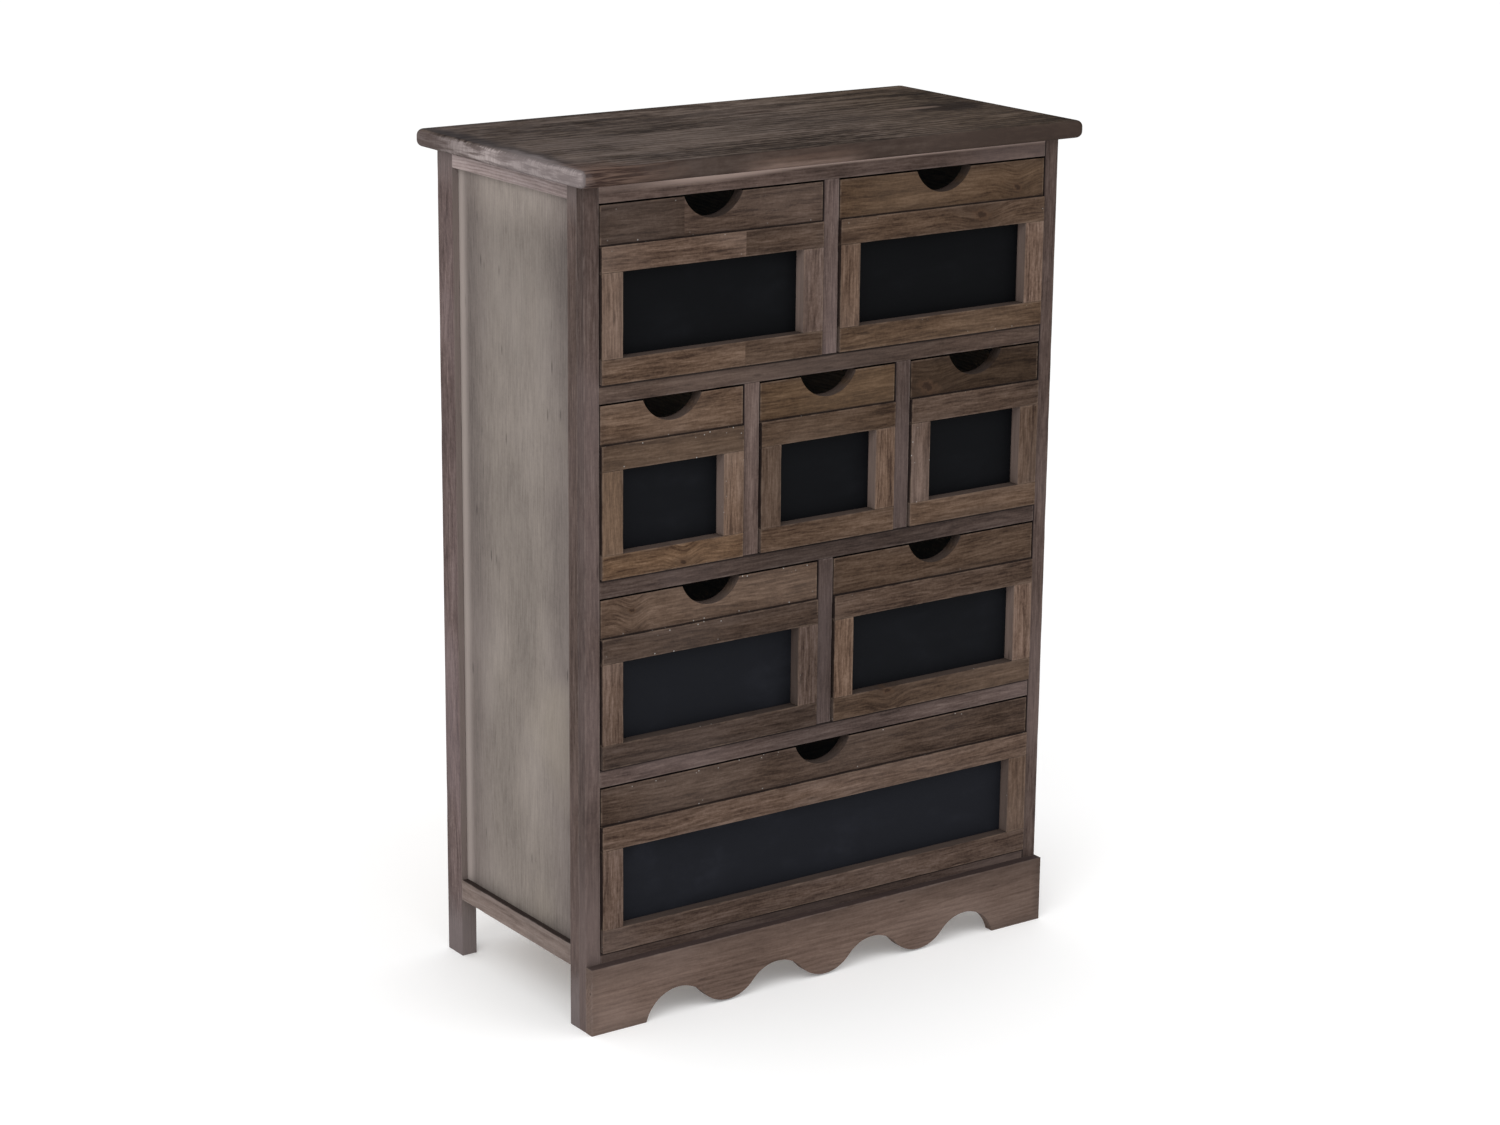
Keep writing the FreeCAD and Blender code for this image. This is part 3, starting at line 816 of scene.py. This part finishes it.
def side_panel_wear_and_light(g, colour):
    """Side panels: rubbed paler in the middle; painted shade at the foot, painted light
    along the top where the top rail's shadow falls, and a painted pale margin along the rear
    edge.
    """
    _, ahead, above = g.split(g.attribute("near"))
    behind = g.part("far", 1)
    cloud = g.noise(g.attribute("grain"), 11.0, 4.0, 0.6)
    front = g.step(g.scale_add(cloud, 0.05, ahead), 0.035, 0.095)
    rear = g.step(g.scale_add(cloud, 0.04, behind), 0.04, 0.09)
    dull = g.tinted(colour, (0.82, 0.78, 0.75))
    light = g.tinted(colour, (1.12, 1.095, 1.02))
    colour = g.mix(g.times(front, rear), dull, light)
    # Painted shade at the foot, darker again higher up, and painted light along the top,
    # where the top rail casts its shadow
    colour = g.dimmed(colour, g.times(g.step(above, 6 * MM, 26 * MM, 0.86, 1.0),
                                      g.step(above, 0.46, 0.6, 1.0, 0.86),
                                      g.step(above, 0.63, 0.675, 1.0, 1.4)))
    rubbed = g.noise(g.attribute("grain"), 5.5, 2.0, 0.5)
    colour = g.mix(g.step(rubbed, 0.6, 0.74, 0.0, 0.3), colour, (0.285, 0.245, 0.195))
    # Painted light: a pale margin along the rear edge, lifting the shade beside the post
    margin = g.step(behind, 22 * MM, 7 * MM, 0.0, 0.8)
    return g.mix(margin, colour, (0.37, 0.318, 0.292))


def pale_recess(g, colour):
    """Posts: pale where they face the panel, dusty grey at both ends."""
    cloud = g.noise(g.attribute("grain"), 60.0)
    within = g.step(g.facing()[1], -0.6, -0.9, 0.0, 0.75)
    colour = g.mix(within, colour, (0.2, 0.165, 0.15))
    for end, outer, inner, strength, shade in (
            ("near", 0.085, 0.035, 0.65, (0.175, 0.148, 0.148)),
            ("far", 0.06, 0.02, 0.5, (0.19, 0.155, 0.15))):
        away = g.scale_add(cloud, 0.03, g.part(end, 2))
        colour = g.mix(g.step(away, outer, inner, 0.0, strength), colour, shade)
    return colour


def apron_darkening(g, colour):
    """Apron: dimmer to the right, and darker near its upper edge."""
    along = g.step(g.part("near", 0), 0.3, 0.52, 1.0, 0.8)
    upper = g.step(g.part("far", 2), 0.026, 0.012, 1.08, 0.9)
    return g.dimmed(colour, g.times(along, upper))


# Materials -----------------------------

def painted_board():
    """Matt black board paint with rubbed-in chalk dust, brush marks and a painted sheen."""
    g = Graph("chalkboard_paint")
    grain = g.attribute("grain")
    brush = g.stretched(grain, 6.0, 420.0, 4.0, 0.6)
    dust = g.noise(grain, 18.0, 5.0, 0.62)
    smear = g.stretched(grain, 9.0, 30.0, 3.0, 0.55)
    amount = g.times(g.step(dust, 0.4, 0.8), g.step(smear, 0.35, 0.7))
    colour = g.mix(amount, (0.0045, 0.0048, 0.0057), (0.008, 0.0085, 0.0102))
    # Each panel's tone: chalk dust, and a painted sheen, bluer and stronger on the lower
    # rows and on the left
    tone = g.part("look", 0)
    colour = g.tinted(colour, g.join(tone, tone, g.math("POWER", tone, 1.08)))
    fleck = g.noise(grain, 900.0, 2.0, 0.5)
    colour = g.mix(g.step(fleck, 0.7, 0.8, 0.0, 0.35), colour, (0.022, 0.024, 0.028))
    height = g.scale_add(brush, 0.6, dust)
    rough = g.scale_add(dust, 0.25, 0.5)
    return g.surface(colour, rough, g.bump(height, 0.12 * MM), 0.03)


def plated_steel():
    """Dull zinc with a little tarnish, for the screws and nails."""
    g = Graph("plated_steel")
    cloud = g.noise(g.place(), 420.0, 4.0, 0.6)
    speck = g.noise(g.place(), 1600.0, 2.0, 0.6)
    colour = g.mix(g.step(cloud, 0.35, 0.7), (0.46, 0.45, 0.43), (0.2, 0.17, 0.14))
    rough = g.scale_add(cloud, 0.35, 0.22)
    return g.surface(colour, rough, g.bump(speck, 0.05 * MM), 0.5, 0.9)


def frame_wood(name, *finish):
    """Grey-brown timber of the face frame and posts."""
    return wood(
        name, (0.036, 0.024, 0.021), (0.083, 0.057, 0.049), (0.138, 0.101, 0.088),
        grey=(0.105, 0.08, 0.077), greyness=0.4, worn=(0.165, 0.128, 0.115),
        # Faces that look up and down take painted shade.
        stained_levels=0.85, blotches=0.6, knots=0.3, streaks=0.5, rings=0.12,
        fibres=1.25, finish=finish)


def front_wood(name, *finish):
    """Brown timber of the drawer fronts."""
    return wood(
        name, (0.028, 0.016, 0.011), (0.073, 0.0455, 0.0313), (0.122, 0.082, 0.0615),
        grey=(0.08, 0.06, 0.05), greyness=0.3, rings=0.16, ring_spacing=4.2 * MM,
        # Faces that look sideways, up and down take painted shade.
        blotches=0.7, worn=(0.17, 0.12, 0.09), stained_sides=0.9, stained_levels=0.9,
        specks=0.7, fibres=1.5, finish=finish)


def make_materials():
    """The finish of each kind of board, of the panels and of the fixings."""
    return {
        "rail": frame_wood("rail_wood", rail_shade_and_highlight),
        "upright": frame_wood("upright_wood", upright_shade_and_pale_foot),
        "post": frame_wood("post_wood", pale_recess),
        "front": front_wood("drawer_front_wood", one_knot),
        "strip": front_wood("strip_wood", one_knot, strip_shade),
        "apron": wood(
            "apron_wood", (0.052, 0.034, 0.028), (0.108, 0.0745, 0.062),
            (0.16, 0.116, 0.099), grey=(0.125, 0.094, 0.085), greyness=0.4,
            # The upper and lower faces take painted shade.
            worn=(0.18, 0.14, 0.125), stained_levels=0.75,
            stain=(0.044, 0.031, 0.032), streaks=0.35, fibres=0.8,
            blotches=0.6, knots=0.3, rings=0.12, marks=0.7, finish=[apron_darkening]),
        "side_rail": wood(
            "side_rail_wood", (0.12, 0.091, 0.084), (0.195, 0.153, 0.142),
            (0.27, 0.222, 0.21), grey=(0.215, 0.18, 0.172),
            # The upper and lower faces take painted shade.
            worn=(0.25, 0.205, 0.19), stained_levels=0.92,
            stain=(0.026, 0.018, 0.016), knots=0.0, streaks=0.35),
        "top": wood(
            "top_wood", (0.02, 0.013, 0.01), (0.064, 0.046, 0.036),
            (0.125, 0.096, 0.08), grey=(0.085, 0.066, 0.057), greyness=0.35,
            worn=(0.11, 0.08, 0.066), stave=92 * MM, streaks=1.35, figure=0.4,
            fibres=1.8, grime=0.1, ring_spacing=9 * MM, roughness=0.75,
            specular=0.01, finish=[worn_top]),
        "side_panel": wood(
            "side_panel_wood", (0.105, 0.09, 0.083), (0.178, 0.154, 0.142),
            (0.24, 0.209, 0.19), grey=(0.195, 0.173, 0.163), greyness=0.4,
            worn=(0.27, 0.235, 0.21), rings=0.04, streaks=0.2, blotches=0.48,
            fibres=0.8, marks=0.6, grime=0.0, knots=0.0, relief=0.12 * MM,
            finish=[side_panel_wear_and_light]),
        "inner": wood(
            "inner_wood", (0.2, 0.13, 0.075), (0.32, 0.22, 0.14),
            (0.43, 0.315, 0.21), grey=(0.28, 0.225, 0.18), greyness=0.3,
            worn=(0.42, 0.33, 0.24), wear=0.3, streaks=0.8, rings=0.25,
            grime=0.3, marks=0.3, glow=0.0012),
        "back_panel": wood(
            "back_panel_wood", (0.18, 0.12, 0.072), (0.27, 0.19, 0.122),
            (0.35, 0.26, 0.175), grey=(0.24, 0.195, 0.155), greyness=0.25,
            worn=(0.36, 0.29, 0.21), wear=0.3, streaks=0.8, rings=0.14,
            blotches=0.15, fibres=0.9, grime=0.2, marks=0.4, knots=0.6,
            ring_spacing=5.5 * MM),
        "chalkboard": painted_board(),
        "steel": plated_steel(),
    }


# Pieces --------------------------------

def solids_of(node):
    """Boxes round the separate solids of a CAD node, in a fixed order."""
    mesh = frame["nodes"][node].data
    owner = {}

    def root(key):
        while owner[key] != key:
            key = owner[key]
        return key

    keys = [tuple(round(c, 5) for c in vert.co) for vert in mesh.vertices]
    for key in keys:
        owner.setdefault(key, key)
    for face in mesh.polygons:
        first = root(keys[face.vertices[0]])
        for index in face.vertices[1:]:
            owner[root(keys[index])] = first
    groups = {}
    for key in owner:
        groups.setdefault(root(key), []).append(key)
    boxes = []
    for points in groups.values():
        low = Vector([min(p[a] for p in points) for a in range(3)])
        high = Vector([max(p[a] for p in points) for a in range(3)])
        boxes.append((low, high))
    return sorted(boxes, key=lambda box: [round(c, 4) for c in box[0]])


def add_board(piece, low, high, axis, tone=1.0, cutters=(), arris=ARRIS,
              nicks=NICK_DEPTH, **look):
    """Makes one straight board and adds it to a piece."""
    axis = AXES.index(axis)
    bm = carved_block(low, high, cutters)
    soften(bm, arris)
    if nicks:
        wear(bm, low, high, axis, nicks)
    piece.add(bm, low, high, axis, tone, **look)


CARCASS = [
    # node, slot, material, grain axis, tone of all the boards or (tone, warmth)
    # of each, CAD nodes let into it
    ("left_front_post", "frame_wood", "post", "z", [(1.02, 0.1)], ["left_side_panel"]),
    ("right_front_post", "frame_wood", "post", "z", 1.0, ["right_side_panel"]),
    ("left_rear_post", "frame_wood", "post", "z", [(1.55, -0.6)],
     ["left_side_panel", "back_panel"]),
    ("right_rear_post", "frame_wood", "post", "z", 1.25,
     ["right_side_panel", "back_panel"]),
    ("side_rails", "frame_wood", "side_rail", "y",
     [(1.15, 0.4), (1.8, -0.2), (1.0, 0.0), (1.1, 0.0)],
     ["left_side_panel", "right_side_panel"]),
    ("left_side_panel", "side_panel_wood", "side_panel", "z", 1.0, []),
    ("right_side_panel", "side_panel_wood", "side_panel", "z", 1.0, []),
    ("face_frame_stiles", "frame_wood", "upright", "z", [(1.03, -0.1), (0.97, 0.1)], []),
    # The last rail, at the top, is lighter: painted light against the shadow of the top
    # board's overhang
    ("face_frame_rails", "frame_wood", "rail", "x",
     [(0.95, 0.3), (1.2, -0.1), (0.8, 0.2), (0.95, 0.7), (1.5, 0.2)], []),
    ("face_frame_dividers", "frame_wood", "upright", "z",
     [(1.3, 0.1), (0.75, -0.1), (1.25, -0.1), (0.85, 0.0)], []),
    ("back_panel", "inner_wood", "back_panel", "z", 0.8, []),
    ("shelf_boards", "inner_wood", "inner", "x", 0.9, []),
    ("bottom_board", "inner_wood", "inner", "x", 0.85, []),
    ("partitions", "inner_wood", "inner", "y", 0.9, []),
    ("side_guides", "inner_wood", "inner", "y", 1.0, []),
    ("bearer_strips", "inner_wood", "inner", "y", 1.0, []),
]


def make_carcass(materials):
    """The straight boards of the carcass."""
    for node, slot, material, axis, tone, held in CARCASS:
        piece = Piece(node, "carcass")
        cutters = [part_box(name) for name in held]
        outside = slot != "inner_wood"
        for index, (low, high) in enumerate(solids_of(node)):
            if isinstance(tone, list):
                board_tone, warmth = tone[index]
            else:
                rng = random.Random("%s %d" % (node, index))
                board_tone, warmth = tone * rng.uniform(0.88, 1.14), None
            add_board(piece, low, high, axis, board_tone, cutters,
                      ARRIS if outside else FINE_ARRIS,
                      NICK_DEPTH if outside else 0, warmth=warmth)
        piece.finish(materials[material], slot)


def make_apron(materials):
    """Front skirt with arches and lobes of one radius."""
    low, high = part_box("scalloped_apron")
    half_pitch = ARCH_PITCH / 2
    wave = ARCH_PEAK - LOBE_BOTTOM
    radius = (half_pitch ** 2 + wave ** 2) / (4 * wave)
    reach = math.acos((radius - ARCH_PEAK) / radius)
    swing = math.asin(half_pitch / 2 / radius)
    outline = [(low.x, low.z)]
    first = -(ARCH_COUNT - 1) * half_pitch
    for index in range(ARCH_COUNT):
        peak = first + index * ARCH_PITCH
        start = reach if index == 0 else swing
        end = reach if index == ARCH_COUNT - 1 else swing
        arch = arc((peak, ARCH_PEAK - radius), radius,
                   math.pi / 2 + start, math.pi / 2 - end, 20)
        outline += arch[min(index, 1):]
        if index < ARCH_COUNT - 1:
            outline += arc((peak + half_pitch, LOBE_BOTTOM + radius), radius,
                           -math.pi / 2 - swing, -math.pi / 2 + swing, 16)[1:]
    outline += [(high.x, low.z), (high.x, high.z), (low.x, high.z)]
    bm = prism(outline, low.y, high.y)
    soften(bm, ARRIS)
    piece = Piece("scalloped_apron", "carcass")
    piece.add(bm, low, high, 0, 1.14, warmth=0.3)
    piece.finish(materials["apron"], "frame_wood")


def make_top(materials):
    """Top board: corners rounded in plan, edges rounded over."""
    low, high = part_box("top_board")
    bm = bmesh.new()
    steps = 8
    turns = [math.pi / 2 * i / steps for i in range(steps + 1)]
    levels = [(TOP_EDGE_RADIUS * (1 - math.sin(t)),
               low.z + TOP_EDGE_RADIUS * (1 - math.cos(t))) for t in turns]
    levels += [(inset, low.z + high.z - z) for inset, z in reversed(levels)]
    rings = []
    for inset, z in levels:
        radius = TOP_CORNER_RADIUS - inset
        outline = []
        for corner in range(4):
            right = corner in (0, 3)
            rear = corner in (0, 1)
            centre = (high.x - TOP_CORNER_RADIUS if right else low.x + TOP_CORNER_RADIUS,
                      high.y - TOP_CORNER_RADIUS if rear else low.y + TOP_CORNER_RADIUS)
            start = corner * math.pi / 2
            outline += arc(centre, radius, start, start + math.pi / 2, 10)
        rings.append([bm.verts.new((px, py, z)) for px, py in outline])
    for lower, upper in zip(rings[:-1], rings[1:]):
        count = len(lower)
        for i in range(count):
            j = (i + 1) % count
            bm.faces.new((lower[i], lower[j], upper[j], upper[i]))
    bm.faces.new(rings[0][::-1])
    bm.faces.new(rings[-1])
    piece = Piece("top_board", "carcass")
    piece.add(bm, low, high, 0, 1.0)
    piece.finish(materials["top"], "top_wood")


def make_notch_rail(body, materials):
    """Plain strip at the top of a drawer front with a round finger notch."""
    node = body + "_notch_rail"
    low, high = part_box(node)
    centre = ((low.x + high.x) / 2, high.z - NOTCH_DEPTH + NOTCH_RADIUS)
    half = math.acos((NOTCH_RADIUS - NOTCH_DEPTH) / NOTCH_RADIUS)
    notch = arc(centre, NOTCH_RADIUS, -math.pi / 2 + half, -math.pi / 2 - half, 40)
    outline = [(low.x, low.z), (high.x, low.z), (high.x, high.z), *notch,
               (low.x, high.z)]
    bm = prism(outline, low.y, high.y)
    soften(bm, ARRIS)
    tone, warmth = FRONT_LOOKS[body][0]
    piece = Piece(node, body)
    piece.add(bm, low, high, 0, tone, FRONT_JOINS.get(node), warmth, 1.0,
              FRONT_KNOTS.get(node))
    piece.finish(materials["strip"], "drawer_front_wood")


def make_panel_frame(body, materials):
    """Two rails with two stiles between them, rebated for the panel."""
    node = body + "_panel_frame"
    low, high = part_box(node)
    cutters = [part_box(body + "_chalkboard"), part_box(body + "_box_bottom")]
    low_edge = low.z + PANEL_LOW_RAIL
    high_edge = high.z - PANEL_TOP_RAIL
    top_look, left_look, right_look, low_look = FRONT_LOOKS[body][1:]
    members = [
        # near corner, far corner, grain, look, recess
        (low, Vector((high.x, high.y, low_edge)), "x", low_look, 1.0),
        (Vector((low.x, low.y, high_edge)), high, "x", top_look, 0.0),
        (Vector((low.x, low.y, low_edge)),
         Vector((low.x + PANEL_STILE, high.y, high_edge)), "z", left_look, 0.0),
        (Vector((high.x - PANEL_STILE, low.y, low_edge)),
         Vector((high.x, high.y, high_edge)), "z", right_look, PANEL_LOOKS[body][1]),
    ]
    piece = Piece(node, body)
    for index, (near, far, axis, (tone, warmth), recess) in enumerate(members):
        name = "%s %d" % (node, index)
        add_board(piece, near, far, axis, tone, cutters, join=FRONT_JOINS.get(name),
                  warmth=warmth, recess=recess, knot=FRONT_KNOTS.get(name))
    piece.finish(materials["front"], "drawer_front_wood")


def make_box_walls(body, materials):
    """Sides and back of a drawer box, grooved for its bottom."""
    node = body + "_box_walls"
    low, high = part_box(node)
    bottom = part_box(body + "_box_bottom")
    members = [
        (low, Vector((low.x + BOX_WALL, high.y, high.z)), "y"),
        (Vector((high.x - BOX_WALL, low.y, low.z)), high, "y"),
        (Vector((low.x + BOX_WALL, high.y - BOX_WALL, bottom[1].z)),
         Vector((high.x - BOX_WALL, high.y, high.z)), "x"),
    ]
    piece = Piece(node, body)
    for index, (near, far, axis) in enumerate(members):
        tone = random.Random("%s %d" % (node, index)).uniform(0.85, 1.1)
        add_board(piece, near, far, axis, tone, [bottom], FINE_ARRIS, nicks=0)
    piece.finish(materials["inner"], "inner_wood")


def make_flat_board(node, body, tone, material, slot):
    """One thin board of a drawer: its bottom or its writing panel."""
    piece = Piece(node, body)
    add_board(piece, *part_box(node), "x", tone, (), FINE_ARRIS, nicks=0)
    piece.finish(material, slot)


def dress_fixings(materials):
    """Screws and nails keep their CAD shape and take a metal finish."""
    for node in ("top_fixing_screws", "back_panel_nails"):
        obj = frame["nodes"][node]
        for slot in obj.material_slots:
            slot.material = materials["steel"]


# Scene ---------------------------------

def make_floor():
    """Plain pale floor."""
    bm = bmesh.new()
    bmesh.ops.create_grid(bm, x_segments=1, y_segments=1, size=FLOOR_REACH)
    mesh = bpy.data.meshes.new("floor")
    bm.to_mesh(mesh)
    bm.free()
    floor = new_object("floor", mesh)
    g = Graph("pale_floor")
    cloud = g.noise(g.place(), 2.0, 2.0)
    colour = g.mix(cloud, (0.9, 0.9, 0.9), (0.92, 0.92, 0.92))
    mesh.materials.append(g.surface(colour, 0.9, None, 0.0))
    g.glow((1.0, 1.0, 1.0), 0.15)


def soft_box(name, place, size, power):
    """A large square lamp that looks at the middle of the cabinet."""
    data = bpy.data.lights.new(name, "AREA")
    data.shape = "SQUARE"
    data.size = size
    data.energy = power
    lamp = new_object(name, data)
    lamp.location = place
    look = Vector(LAMP_TARGET) - Vector(place)
    lamp.rotation_euler = look.to_track_quat("-Z", "Y").to_euler()


def make_light():
    """White surroundings and two big lamps high in front."""
    world = bpy.data.worlds.new("studio")
    world.use_nodes = True
    tree = world.node_tree
    ground = tree.nodes["Background"]
    path = tree.nodes.new("ShaderNodeLightPath")
    strength = tree.nodes.new("ShaderNodeMapRange")
    tree.links.new(path.outputs["Is Camera Ray"], strength.inputs["Value"])
    strength.inputs["To Min"].default_value = WORLD_STRENGTH
    strength.inputs["To Max"].default_value = SEEN_WORLD_STRENGTH
    tree.links.new(strength.outputs[0], ground.inputs["Strength"])
    ground.inputs["Color"].default_value = (1.0, 1.0, 1.0, 1.0)
    bpy.context.scene.world = world
    soft_box("key", (-2.2, -1.6, 2.6), 1.8, 30)
    soft_box("fill", (1.8, -2.4, 2.2), 2.0, 12)


def make_camera():
    """Camera in front, to the left and a little above the top board."""
    data = bpy.data.cameras.new("camera")
    data.sensor_width = CAMERA_SENSOR
    data.lens = CAMERA_LENS
    camera = new_object("camera", data)
    camera.matrix_world = (Matrix.Translation(CAMERA_PLACE)
                           @ Matrix.Rotation(-CAMERA_AZIMUTH, 4, "Z")
                           @ Matrix.Rotation(math.pi / 2 - CAMERA_DIP, 4, "X")
                           @ Matrix.Rotation(CAMERA_ROLL, 4, "Z"))
    bpy.context.scene.camera = camera


materials = make_materials()
make_carcass(materials)
make_apron(materials)
make_top(materials)
for drawer in DRAWERS:
    make_notch_rail(drawer, materials)
    make_panel_frame(drawer, materials)
    make_box_walls(drawer, materials)
    make_flat_board(drawer + "_box_bottom", drawer, 1.0, materials["inner"], "inner_wood")
    make_flat_board(drawer + "_chalkboard", drawer, PANEL_LOOKS[drawer][0],
                    materials["chalkboard"], "chalkboard_paint")
dress_fixings(materials)
make_floor()
make_light()
make_camera()
bpy.context.scene.view_settings.view_transform = "Standard"
